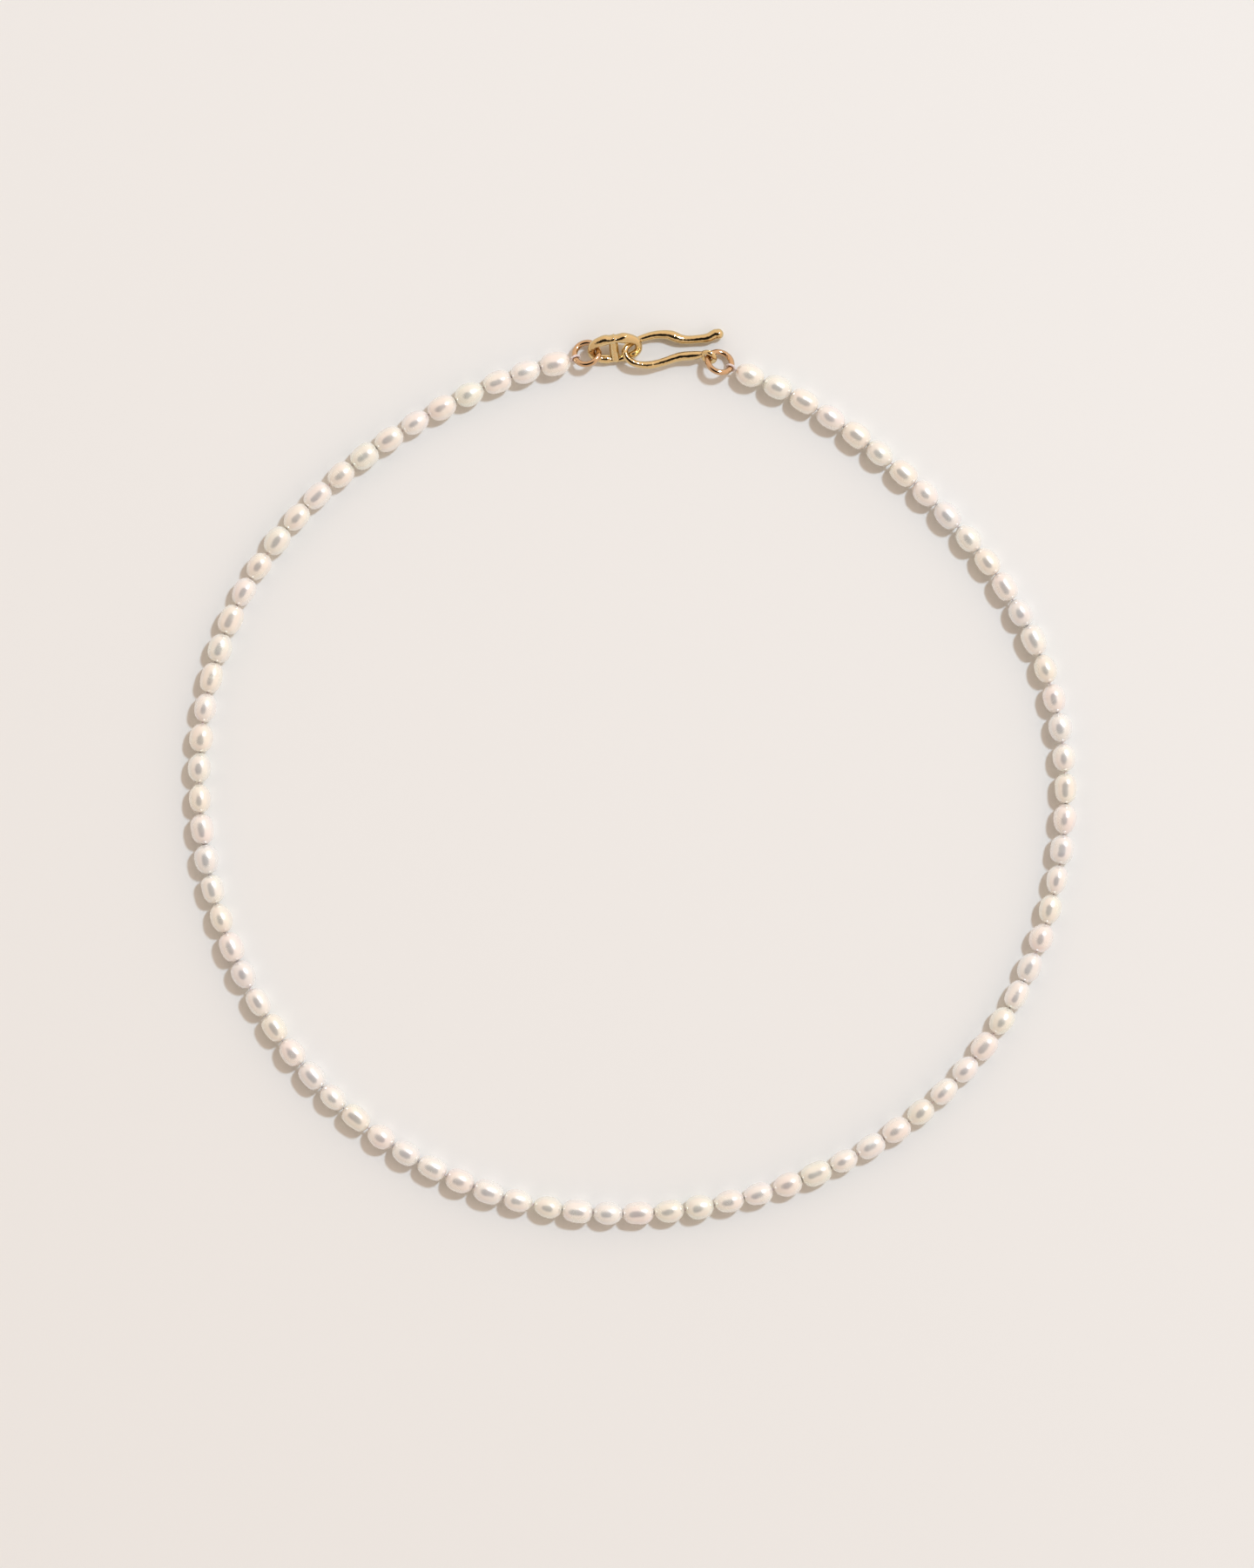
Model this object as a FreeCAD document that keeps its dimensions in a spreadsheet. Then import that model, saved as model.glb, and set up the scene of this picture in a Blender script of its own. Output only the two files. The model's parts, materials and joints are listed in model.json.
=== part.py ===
import FreeCAD, Part
import math
import os

# Pearl necklace lying flat in a closed loop, fastened by a hook and an oval link.
# Millimetres, +X to the right, +Y from the front pearls toward the clasp, +Z up.
# Each strand segment is a rigid run of drilled pearls on its own length of thread.

doc = FreeCAD.newDocument("PearlNecklace")

# ---------------------------------------------------------------- driving sizes
SIZES = [
    ("pearls_front", 5, "pearls in the front segment"),
    ("pearls_segment", 3, "pearls in every other segment"),
    ("segments_side", 13, "segments between the front and the clasp, each side"),
    ("pearl_length", 4.45, "mean length of a pearl along its bore"),
    ("pearl_width", 3.50, "mean width of a pearl across its bore"),
    ("length_spread", 0.035, "largest change in length, as a share"),
    ("width_spread", 0.040, "largest change in width, as a share"),
    ("pearl_gap", 0.15, "gap between neighbouring pearls"),
    ("bore_width", 0.60, "width of the hole through a pearl"),
    ("thread_width", 0.34, "width of the thread"),
    ("thread_stop", 0.06, "thread ends short of a bend point"),
    ("start_angle", 98.0, "where the strand leaves the clasp, degrees round the loop"),
    ("swell_two", 0.0103, "second outline wave, as a share of the loop radius"),
    ("turn_two", -23.9, "where the second wave peaks, degrees"),
    ("swell_three", 0.0082, "third outline wave"),
    ("turn_three", -23.4, "where the third wave peaks"),
    ("swell_four", 0.0064, "fourth outline wave"),
    ("turn_four", -10.3, "where the fourth wave peaks"),
    ("swell_five", 0.0063, "fifth outline wave"),
    ("turn_five", 15.9, "where the fifth wave peaks"),
    ("swell_six", 0.0041, "sixth outline wave"),
    ("turn_six", 23.0, "where the sixth wave peaks"),
    ("left_end_turn", 9.0, "outward turn of the left jump ring from the strand's end, degrees"),
    ("right_end_turn", 5.0, "outward turn of the right jump ring from the strand's end"),
    ("ring_width", 4.60, "outside width of a jump ring"),
    ("ring_wire", 0.90, "wire width of a jump ring"),
    ("left_ring_lean", 26.3, "lean of the left jump ring, degrees"),
    ("right_ring_lean", 34.0, "lean of the right jump ring, degrees"),
    ("loop_clearance", 0.03, "slack between thread loop and ring wire"),
    ("ring_spacing", 20.1, "between the centres of the two jump rings"),
    ("link_length", 7.20, "length of the oval link along its centre line"),
    ("link_width", 3.91, "width of the oval link along its centre line"),
    ("link_lean", 44.5, "lean of the oval link about its long axis, degrees"),
    ("link_turn", 10.8, "turn of the oval link in plan, degrees"),
    ("link_top_wire", 1.50, "wire width of the raised rail of the link"),
    ("link_low_wire", 1.26, "wire width of the lower rail of the link"),
    ("link_end_wire", 1.04, "wire width at the ends of the link"),
    ("link_bar", 1.30, "width of the bar that divides the link"),
    ("link_bar_place", -0.15, "bar place along the link from its middle"),
    ("link_slack", 0.196, "room between the end of the link and the inside of the left jump ring"),
    ("link_over_ring", 0.185, "the link's middle above the middle of the left jump ring, at least"),
    ("hook_wire", 1.15, "mean wire width of the hook"),
    ("hook_eye_wire", 0.80, "wire width of the small eye at the end of the hook"),
    ("hook_eye_clearance", 0.10, "slack between that eye and the jump ring"),
]

sheet = doc.addObject("Spreadsheet::Sheet", "Sizes")
for row, (name, value, note) in enumerate(SIZES, start=1):
    sheet.set("A%d" % row, name)
    sheet.set("B%d" % row, str(value))
    sheet.set("C%d" % row, note)
    sheet.setAlias("B%d" % row, name)
doc.recompute()


def size(name):
    return float(sheet.get(name))


SIDES = {"left": 1, "right": -1}
SEGMENTS = int(size("segments_side"))
FRONT_PEARLS = int(size("pearls_front"))
SEGMENT_PEARLS = int(size("pearls_segment"))
PEARLS = FRONT_PEARLS + 2 * SEGMENTS * SEGMENT_PEARLS
RING_RADIUS = (size("ring_width") - size("ring_wire")) / 2
THREAD_LOOP_RADIUS = size("ring_wire") / 2 + size("thread_width") / 2 + size("loop_clearance")
RING_REACH = RING_RADIUS + THREAD_LOOP_RADIUS + size("thread_width") / 2 + size("loop_clearance")
UP = FreeCAD.Vector(0, 0, 1)


# ---------------------------------------------------------------- strand layout
def length_share(index):
    wave = 0.6 * math.sin(2.4 * index) + 0.4 * math.sin(5.1 * index + 1.0)
    return 1 + size("length_spread") * wave


def width_share(index):
    wave = 0.7 * math.sin(1.7 * index + 2.0) + 0.3 * math.sin(4.3 * index)
    return 1 + size("width_spread") * wave


STRAND_HEIGHT = size("pearl_width") / 2 * max(width_share(index) for index in range(PEARLS))
WAVES = {2: "two", 3: "three", 4: "four", 5: "five", 6: "six"}


def outline_point(angle, radius):
    share = 1.0
    for order, word in WAVES.items():
        peak = math.radians(size("turn_" + word))
        share += size("swell_" + word) * math.cos(order * (angle - peak))
    reach = radius * share
    return FreeCAD.Vector(reach * math.cos(angle), reach * math.sin(angle), STRAND_HEIGHT)


def next_angle(angle, radius, step):
    here = outline_point(angle, radius)
    low = angle
    high = angle + 2 * step / radius
    for _ in range(40):
        middle = (low + high) / 2
        if (outline_point(middle, radius) - here).Length < step:
            low = middle
        else:
            high = middle
    return (low + high) / 2


def strand_nodes(radius):
    """Points midway between neighbouring pearls, from the left ring round to the right ring."""
    angle = math.radians(size("start_angle"))
    nodes = [outline_point(angle, radius)]
    for index in range(PEARLS):
        step = size("pearl_length") * length_share(index) + size("pearl_gap")
        angle = next_angle(angle, radius, step)
        nodes.append(outline_point(angle, radius))
    return nodes


def ring_centres(nodes):
    reach = RING_REACH - size("pearl_gap") / 2
    left_way = (nodes[0] - nodes[1]).normalize()
    left_way = FreeCAD.Rotation(UP, size("left_end_turn")).multVec(left_way)
    right_way = (nodes[-1] - nodes[-2]).normalize()
    right_way = FreeCAD.Rotation(UP, -size("right_end_turn")).multVec(right_way)
    return nodes[0] + left_way * reach, nodes[-1] + right_way * reach


def solve_radius():
    """Loop radius at which the two jump rings stand ring_spacing apart."""
    strand = PEARLS * (size("pearl_length") + size("pearl_gap"))
    low = strand / (2 * math.pi)
    high = low * 1.2
    for _ in range(40):
        middle = (low + high) / 2
        left, right = ring_centres(strand_nodes(middle))
        if (left - right).Length < size("ring_spacing"):
            low = middle
        else:
            high = middle
    return (low + high) / 2


LOOP_RADIUS = solve_radius()
NODES = strand_nodes(LOOP_RADIUS)
LEFT_RING, RIGHT_RING = ring_centres(NODES)
CLASP_ALONG = (RIGHT_RING - LEFT_RING).normalize()
CLASP_OUT = UP.cross(CLASP_ALONG)


def clasp_point(along, out, up):
    """Point in the clasp's own frame: origin under the left ring, on the table."""
    base = FreeCAD.Vector(LEFT_RING.x, LEFT_RING.y, 0)
    return base + CLASP_ALONG * along + CLASP_OUT * out + UP * up


def segment_span(side, number):
    """First and last node index of a segment; number 0 is the front one."""
    start = SEGMENTS * SEGMENT_PEARLS
    if number == 0:
        return start, start + FRONT_PEARLS
    if side == "left":
        last = start - (number - 1) * SEGMENT_PEARLS
        return last - SEGMENT_PEARLS, last
    first = start + FRONT_PEARLS + (number - 1) * SEGMENT_PEARLS
    return first, first + SEGMENT_PEARLS


def ring_frame(centre, strand_end, lean):
    """Unit vectors of a jump ring: toward the strand, across it, and its axis."""
    toward = FreeCAD.Vector(strand_end.x - centre.x, strand_end.y - centre.y, 0).normalize()
    level = UP.cross(toward)
    if level.dot(CLASP_OUT) < 0:
        level = level * -1
    across = level * math.cos(math.radians(lean)) - UP * math.sin(math.radians(lean))
    return toward, across, toward.cross(across)


LEFT_FRAME = ring_frame(LEFT_RING, NODES[0], size("left_ring_lean"))
RIGHT_FRAME = ring_frame(RIGHT_RING, NODES[-1], size("right_ring_lean"))


# ---------------------------------------------------------------- shape helpers
def facing(direction, position, reference=UP):
    """Placement whose local Z runs along direction and whose local X stays square to reference."""
    along = FreeCAD.Vector(direction).normalize()
    side = reference.cross(along)
    if side.Length < 1e-6:
        side = FreeCAD.Vector(1, 0, 0)
    side.normalize()
    return FreeCAD.Placement(position, FreeCAD.Rotation(side, along.cross(side), along, "ZXY"))


def make_tube(name, stations, reference=UP):
    """Round tube through stations of (point, radius expression, direction)."""
    circles = []
    for place, (point, radius, direction) in enumerate(stations):
        circle = doc.addObject("Part::Circle", "%s_section_%02d" % (name, place))
        circle.setExpression("Radius", radius)
        circle.Placement = facing(direction, point, reference)
        circles.append(circle)
    tube = doc.addObject("Part::Loft", name)
    tube.Sections = circles
    tube.Solid = True
    tube.Ruled = False
    return tube


def with_directions(points, radii):
    """Stations whose directions follow the neighbouring points."""
    last = len(points) - 1
    stations = []
    for place, (point, radius) in enumerate(zip(points, radii)):
        direction = points[min(place + 1, last)] - points[max(place - 1, 0)]
        stations.append((point, radius, direction))
    return stations


def make_torus(name, centre, axis, radius, wire):
    torus = doc.addObject("Part::Torus", name)
    torus.setExpression("Radius1", radius)
    torus.setExpression("Radius2", wire)
    torus.Placement = facing(axis, centre)
    return torus


def make_pearl(index):
    length = "Sizes.pearl_length * %.4f" % length_share(index)
    width = "Sizes.pearl_width * %.4f" % width_share(index)
    body = doc.addObject("Part::Ellipsoid", "pearl_body_%02d" % index)
    body.setExpression("Radius1", length + " / 2")
    body.setExpression("Radius2", width + " / 2")
    body.setExpression("Radius3", width + " / 2")
    bore = doc.addObject("Part::Cylinder", "pearl_bore_%02d" % index)
    bore.setExpression("Radius", "Sizes.bore_width / 2")
    bore.setExpression("Height", "Sizes.pearl_length * 2")
    bore.setExpression("Placement.Base.z", "-Sizes.pearl_length")
    pearl = doc.addObject("Part::Cut", "pearl_%02d" % index)
    pearl.Base = body
    pearl.Tool = bore
    pearl.Placement = facing(NODES[index + 1] - NODES[index], (NODES[index] + NODES[index + 1]) / 2)
    return pearl


def toward(start, end, distance):
    return start + (end - start).normalize() * distance


def thread_stations(first, last):
    """Thread through the mid-gap points, kept short of the bend points at both ends."""
    stop = size("thread_stop")
    points = [toward(NODES[first], NODES[first + 1], stop)]
    points += NODES[first + 1:last]
    points.append(toward(NODES[last], NODES[last - 1], stop))
    return points


# ---------------------------------------------------------------- pearls and thread
FINISHED = []
THREAD_RADIUS = "Sizes.thread_width / 2"
THREAD_LOOP = "Sizes.ring_wire / 2 + Sizes.thread_width / 2 + Sizes.loop_clearance"


def finish(shape_object, label):
    shape_object.Label = label
    FINISHED.append(shape_object)


def make_segment(label, first, last):
    group = doc.addObject("Part::Compound", "pearls_" + label)
    group.Links = [make_pearl(index) for index in range(first, last)]
    finish(group, "pearls_" + label)
    points = thread_stations(first, last)
    ring = None
    if first == 0:
        ring = (LEFT_RING, LEFT_FRAME)
        points[0] = LEFT_RING + LEFT_FRAME[0] * (RING_RADIUS + THREAD_LOOP_RADIUS)
    if last == PEARLS:
        ring = (RIGHT_RING, RIGHT_FRAME)
        points[-1] = RIGHT_RING + RIGHT_FRAME[0] * (RING_RADIUS + THREAD_LOOP_RADIUS)
    name = "thread_" + label
    tube = make_tube(name + "_run", with_directions(points, [THREAD_RADIUS] * len(points)))
    if ring is None:
        finish(tube, name)
        return
    centre, frame = ring
    wire_centre = centre + frame[0] * RING_RADIUS
    loop = make_torus(name + "_loop", wire_centre, frame[1], THREAD_LOOP, THREAD_RADIUS + " * 0.94")
    joined = doc.addObject("Part::Fuse", name)
    joined.Base = tube
    joined.Tool = loop
    finish(joined, name)


first, last = segment_span("left", 0)
make_segment("front", first, last)
for side in SIDES:
    for number in range(1, SEGMENTS + 1):
        first, last = segment_span(side, number)
        make_segment("%s_%02d" % (side, number), first, last)


# ---------------------------------------------------------------- jump rings
RING_LINE = "(Sizes.ring_width - Sizes.ring_wire) / 2"
for side, centre, frame in (("left", LEFT_RING, LEFT_FRAME), ("right", RIGHT_RING, RIGHT_FRAME)):
    ring = make_torus(side + "_jump_ring", centre, frame[2], RING_LINE, "Sizes.ring_wire / 2")
    finish(ring, side + "_jump_ring")


# ---------------------------------------------------------------- oval link
LINK_TURN = math.radians(size("link_turn"))
LINK_LEAN = math.radians(size("link_lean"))
# The left end of the link sits just inside the left jump ring; its low rail rests on the table
# unless the ring holds it higher.
LINK_END_ALONG = RING_RADIUS - (size("ring_wire") + size("link_end_wire")) / 2 - size("link_slack")
LINK_END_OUT = 0.325
LINK_HEIGHT = max(
    size("link_low_wire") / 2 + size("link_width") / 2 * math.sin(LINK_LEAN),
    STRAND_HEIGHT + size("link_over_ring"))
LINK_MIDDLE = clasp_point(
    LINK_END_ALONG + size("link_length") / 2 * math.cos(LINK_TURN),
    LINK_END_OUT + size("link_length") / 2 * math.sin(LINK_TURN), LINK_HEIGHT)
LINK_ALONG = CLASP_ALONG * math.cos(LINK_TURN) + CLASP_OUT * math.sin(LINK_TURN)
LINK_RISE = UP.cross(LINK_ALONG) * math.cos(LINK_LEAN) + UP * math.sin(LINK_LEAN)
LINK_AXIS = LINK_ALONG.cross(LINK_RISE)
LINK_SQUARENESS = 2.4
HALF_LINK_SECTIONS = 12


def link_point(degrees):
    """Rounded oval in the link's own leaning plane."""
    cosine = math.cos(math.radians(degrees))
    sine = math.sin(math.radians(degrees))
    power = 2 / LINK_SQUARENESS
    along = math.copysign(abs(cosine) ** power, cosine) * size("link_length") / 2
    rise = math.copysign(abs(sine) ** power, sine) * size("link_width") / 2
    return LINK_MIDDLE + LINK_ALONG * along + LINK_RISE * rise


def link_radius(degrees):
    rail = "link_top_wire" if math.sin(math.radians(degrees)) > 0 else "link_low_wire"
    share = abs(math.sin(math.radians(degrees))) ** 2
    return "(Sizes.%s * %.4f + Sizes.link_end_wire * %.4f) / 2" % (rail, share, 1 - share)


halves = []
for half, start in (("right", -90.0), ("left", 90.0)):
    stations = []
    for place in range(HALF_LINK_SECTIONS + 1):
        turn = start + 180.0 * place / HALF_LINK_SECTIONS
        direction = link_point(turn + 3) - link_point(turn - 3)
        stations.append((link_point(turn), link_radius(turn), direction))
    halves.append(make_tube("link_half_" + half, stations, LINK_AXIS))
link_bar = doc.addObject("Part::Cylinder", "link_bar_body")
link_bar.setExpression("Radius", "Sizes.link_bar / 2")
link_bar.setExpression("Height", "Sizes.link_width")
link_bar.Placement = facing(
    LINK_RISE, LINK_MIDDLE + LINK_ALONG * size("link_bar_place") - LINK_RISE * (size("link_width") / 2))
link = doc.addObject("Part::MultiFuse", "clasp_link")
link.Shapes = halves + [link_bar]
finish(link, "clasp_link")


# ---------------------------------------------------------------- hook
# Centre line of the hook in the clasp frame, from the small eye round the bend to the tip,
# with the wire's width at each place as a share of the mean width. It is written for jump rings
# 20.1 mm apart lying 1.8145 mm above the table and stretches with them.
HOOK_LINE = [
    (16.10, 0.78, 1.65, 1.18), (14.60, 0.56, 1.48, 1.22), (13.10, 0.12, 1.42, 1.15),
    (11.60, -0.50, 1.48, 1.08), (10.08, -1.00, 1.62, 1.02), (8.44, -1.18, 1.85, 0.98),
    (7.08, -0.93, 2.03, 0.92), (6.13, -0.27, 2.08, 0.87), (5.72, 0.59, 1.98, 0.87),
    (5.95, 1.43, 1.72, 0.87), (6.70, 2.11, 1.38, 0.88), (7.74, 2.67, 1.08, 0.94),
    (8.98, 3.16, 0.94, 1.04), (10.30, 3.54, 0.90, 1.12), (11.60, 3.66, 0.90, 1.22),
    (12.70, 3.54, 0.96, 1.38), (13.80, 3.22, 0.94, 1.28), (15.10, 3.14, 0.86, 1.12),
    (16.90, 3.38, 0.86, 1.14), (18.35, 3.76, 0.92, 1.26), (19.60, 4.30, 0.94, 1.36),
]
HOOK_EYE_RADIUS = size("ring_wire") / 2 + size("hook_eye_wire") / 2 + size("hook_eye_clearance")
hook_eye_centre = RIGHT_RING - RIGHT_FRAME[0] * RING_RADIUS
hook_root = hook_eye_centre - RIGHT_FRAME[0] * HOOK_EYE_RADIUS

hook_stretch = size("ring_spacing") / 20.1
hook_rise = STRAND_HEIGHT / 1.8145
hook_points = [hook_root]
hook_points += [
    clasp_point(along * hook_stretch, out, up * hook_rise) for along, out, up, share in HOOK_LINE]
hook_radii = ["Sizes.hook_eye_wire / 2 * 1.1"]
hook_radii += ["Sizes.hook_wire / 2 * %.3f" % share for along, out, up, share in HOOK_LINE]
hook_wire = make_tube("hook_body", with_directions(hook_points, hook_radii))
hook_eye = make_torus(
    "hook_eye", hook_eye_centre, RIGHT_FRAME[1],
    "Sizes.ring_wire / 2 + Sizes.hook_eye_wire / 2 + Sizes.hook_eye_clearance", "Sizes.hook_eye_wire / 2")
hook_tip = doc.addObject("Part::Sphere", "hook_tip")
hook_tip.setExpression("Radius", hook_radii[-1] + " * 1.03")
hook_tip.Placement = FreeCAD.Placement(hook_points[-1], FreeCAD.Rotation())
hook = doc.addObject("Part::MultiFuse", "clasp_hook")
hook.Shapes = [hook_wire, hook_eye, hook_tip]
finish(hook, "clasp_hook")


# ---------------------------------------------------------------- place and write
doc.recompute()
for item in doc.Objects:
    if "Invalid" in item.State or "Error" in item.State:
        raise ValueError("object failed: " + item.Name)
for item in FINISHED:
    if item.Shape.isNull() or not item.Shape.isValid() or not item.Shape.Solids:
        raise ValueError("bad shape: " + item.Label)

bounds = FreeCAD.BoundBox()
for item in FINISHED:
    bounds.add(item.Shape.optimalBoundingBox(False, False))
SHIFT = FreeCAD.Vector(-bounds.Center.x, -bounds.Center.y, -bounds.ZMin)
for item in FINISHED:
    item.Placement = FreeCAD.Placement(item.Placement.Base + SHIFT, item.Placement.Rotation)
doc.recompute()

os.makedirs("parts", exist_ok=True)
for item in FINISHED:
    item.Shape.exportStep("parts/%s.step" % item.Label)
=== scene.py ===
import json
import logging
import math
from dataclasses import dataclass, field
from enum import Enum

import bpy
import numpy as np
from mathutils import Matrix, Vector

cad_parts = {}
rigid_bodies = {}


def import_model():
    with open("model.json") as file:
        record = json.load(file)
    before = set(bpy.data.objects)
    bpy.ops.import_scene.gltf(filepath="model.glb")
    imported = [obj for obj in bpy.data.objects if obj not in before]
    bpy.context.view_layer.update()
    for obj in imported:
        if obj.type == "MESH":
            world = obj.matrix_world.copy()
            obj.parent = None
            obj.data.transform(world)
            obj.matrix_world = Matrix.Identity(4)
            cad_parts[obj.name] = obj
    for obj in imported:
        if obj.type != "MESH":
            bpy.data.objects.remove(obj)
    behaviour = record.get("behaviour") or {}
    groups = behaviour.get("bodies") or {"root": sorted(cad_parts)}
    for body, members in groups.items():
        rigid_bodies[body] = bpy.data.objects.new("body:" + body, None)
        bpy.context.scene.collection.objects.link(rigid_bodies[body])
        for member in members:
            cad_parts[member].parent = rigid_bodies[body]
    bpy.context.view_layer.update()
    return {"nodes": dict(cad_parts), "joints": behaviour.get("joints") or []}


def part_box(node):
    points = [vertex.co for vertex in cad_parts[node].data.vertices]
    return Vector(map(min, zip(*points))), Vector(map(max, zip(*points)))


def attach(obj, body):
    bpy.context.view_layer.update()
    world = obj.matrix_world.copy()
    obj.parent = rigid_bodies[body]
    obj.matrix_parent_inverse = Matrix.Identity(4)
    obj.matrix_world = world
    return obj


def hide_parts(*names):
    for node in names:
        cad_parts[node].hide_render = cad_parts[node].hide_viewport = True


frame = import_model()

# The looks of a pearl necklace laid on a pale table: nacre, silk thread and gold-plated findings.
# Shapes are worked in millimetres and brought back to metres at the end of each build.

MM = 0.001
LOG = logging.getLogger("pearl_necklace")


def linear(hex_colour: str) -> tuple[float, float, float, float]:
    """Turn an sRGB hex colour into linear RGBA.

    Args:
        hex_colour: six hex digits with a leading hash.

    Returns:
        The linear colour with full alpha.
    """
    parts = [int(hex_colour[place:place + 2], 16) / 255 for place in (1, 3, 5)]
    values = [part / 12.92 if part <= 0.04045 else ((part + 0.055) / 1.055) ** 2.4 for part in parts]
    return values[0], values[1], values[2], 1.0


def add_node(tree: bpy.types.NodeTree, kind: str, settings: dict | None = None,
             inputs: dict | None = None) -> bpy.types.Node:
    """Add one node with its settings, and link or set its inputs.

    Args:
        tree: the node tree.
        kind: the node's type name.
        settings: attribute names and values.
        inputs: socket names or places, with a socket to link or a value to set.

    Returns:
        The new node.
    """
    node = tree.nodes.new(kind)
    for name, value in (settings or {}).items():
        setattr(node, name, value)
    for key, value in (inputs or {}).items():
        if isinstance(value, bpy.types.NodeSocket):
            tree.links.new(value, node.inputs[key])
        else:
            node.inputs[key].default_value = value
    return node


# ---------------------------------------------------------------- finishes
class Overtone(Enum):
    """Body colours that freshwater nacre comes in within one matched strand."""

    CREAM = "#F5F2E9"
    WHITE = "#F5F4F1"
    ROSE = "#F5F0ED"
    SAGE = "#F1F3EA"
    SILVER = "#EFF0F0"


@dataclass(frozen=True)
class Nacre:
    """Freshwater cultured pearl nacre, as grown and tumble polished: soft glow, blurred highlight."""

    roughness: float = 0.24
    lustre: float = 0.45
    ridge_strength: float = 0.04
    relief_m: float = 0.00006
    cloud_scale: float = 500.0
    cloud_share: float = 0.55
    cloud_rose: str = "#FBF3F3"
    cloud_pale: str = "#FCFDF8"
    wobble_scale: float = 420.0
    wobble_share: float = 0.45
    ring_rate: float = 26.0
    patch_scale: float = 260.0
    skin_scale: float = 1100.0
    index: float = 1.56
    gloss_weight: float = 0.45
    gloss_roughness: float = 0.10

    def build(self) -> bpy.types.Material:
        """Build the nacre material.

        Returns:
            The material.
        """
        material = bpy.data.materials.new("freshwater_nacre_polished")
        material.use_nodes = True
        tree = material.node_tree
        shader = tree.nodes["Principled BSDF"]
        place = add_node(tree, "ShaderNodeTexCoord")
        seed = add_node(tree, "ShaderNodeAttribute", {"attribute_name": "pearl_seed"})
        along = add_node(tree, "ShaderNodeAttribute", {"attribute_name": "pearl_along"})
        # body colour steps from pearl to pearl
        ramp = add_node(tree, "ShaderNodeValToRGB", {}, {"Fac": seed.outputs["Fac"]})
        ramp.color_ramp.interpolation = "LINEAR"
        tones = [Overtone.CREAM, Overtone.WHITE, Overtone.SAGE, Overtone.CREAM, Overtone.ROSE,
                 Overtone.WHITE, Overtone.SILVER]
        while len(ramp.color_ramp.elements) < len(tones):
            ramp.color_ramp.elements.new(0.5)
        for index, tone in enumerate(tones):
            ramp.color_ramp.elements[index].position = index / (len(tones) - 1)
            ramp.color_ramp.elements[index].color = linear(tone.value)
        # cloudy drift of colour over each pearl, about 2 mm from patch to patch
        cloud = add_node(tree, "ShaderNodeTexNoise", {"noise_dimensions": "3D"},
                         {"Vector": place.outputs["Object"], "Scale": self.cloud_scale, "Detail": 2.0})
        drift = add_node(tree, "ShaderNodeMix", {"data_type": "RGBA", "blend_type": "MULTIPLY"},
                         {"Factor": self.cloud_share, 6: ramp.outputs["Color"]})
        cloud_ramp = add_node(tree, "ShaderNodeValToRGB", {}, {"Fac": cloud.outputs["Fac"]})
        cloud_ramp.color_ramp.elements[0].position = 0.35
        cloud_ramp.color_ramp.elements[0].color = linear(self.cloud_rose)
        cloud_ramp.color_ramp.elements[1].position = 0.65
        cloud_ramp.color_ramp.elements[1].color = linear(self.cloud_pale)
        tree.links.new(cloud_ramp.outputs["Color"], drift.inputs[7])
        # growth rings round the bore axis, about 0.5 mm apart and uneven
        wobble = add_node(tree, "ShaderNodeTexNoise", {"noise_dimensions": "3D"},
                          {"Vector": place.outputs["Object"], "Scale": self.wobble_scale, "Detail": 1.0})
        sum_along = add_node(tree, "ShaderNodeMath", {"operation": "MULTIPLY_ADD"},
                             {0: wobble.outputs["Fac"], 1: self.wobble_share, 2: along.outputs["Fac"]})
        ring_turn = add_node(tree, "ShaderNodeMath", {"operation": "MULTIPLY"},
                             {0: sum_along.outputs[0], 1: self.ring_rate})
        rings = add_node(tree, "ShaderNodeMath", {"operation": "SINE"}, {0: ring_turn.outputs[0]})
        patch = add_node(tree, "ShaderNodeTexNoise", {"noise_dimensions": "3D"},
                         {"Vector": place.outputs["Object"], "Scale": self.patch_scale, "Detail": 1.0})
        patch_share = add_node(tree, "ShaderNodeMapRange", {}, {
            "Value": patch.outputs["Fac"], "From Min": 0.48, "From Max": 0.70})
        ridges = add_node(tree, "ShaderNodeMath", {"operation": "MULTIPLY"},
                          {0: rings.outputs[0], 1: patch_share.outputs[0]})
        skin = add_node(tree, "ShaderNodeTexNoise", {"noise_dimensions": "3D"},
                        {"Vector": place.outputs["Object"], "Scale": self.skin_scale, "Detail": 1.0})
        height = add_node(tree, "ShaderNodeMath", {"operation": "MULTIPLY_ADD"},
                          {0: skin.outputs["Fac"], 1: 0.5, 2: ridges.outputs[0]})
        bump = add_node(tree, "ShaderNodeBump", {}, {
            "Height": height.outputs[0], "Strength": self.ridge_strength,
            "Distance": self.relief_m})
        gloss = add_node(tree, "ShaderNodeMapRange", {}, {
            "Value": cloud.outputs["Fac"], "From Min": 0.3, "From Max": 0.7,
            "To Min": self.roughness - 0.03, "To Max": self.roughness + 0.05})
        tree.links.new(drift.outputs[2], shader.inputs["Base Color"])
        tree.links.new(gloss.outputs[0], shader.inputs["Roughness"])
        tree.links.new(bump.outputs["Normal"], shader.inputs["Normal"])
        shader.inputs["Metallic"].default_value = self.lustre
        shader.inputs["IOR"].default_value = self.index
        shader.inputs["Coat Weight"].default_value = self.gloss_weight
        shader.inputs["Coat Roughness"].default_value = self.gloss_roughness
        shader.inputs["Coat IOR"].default_value = 1.5
        return material


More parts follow.
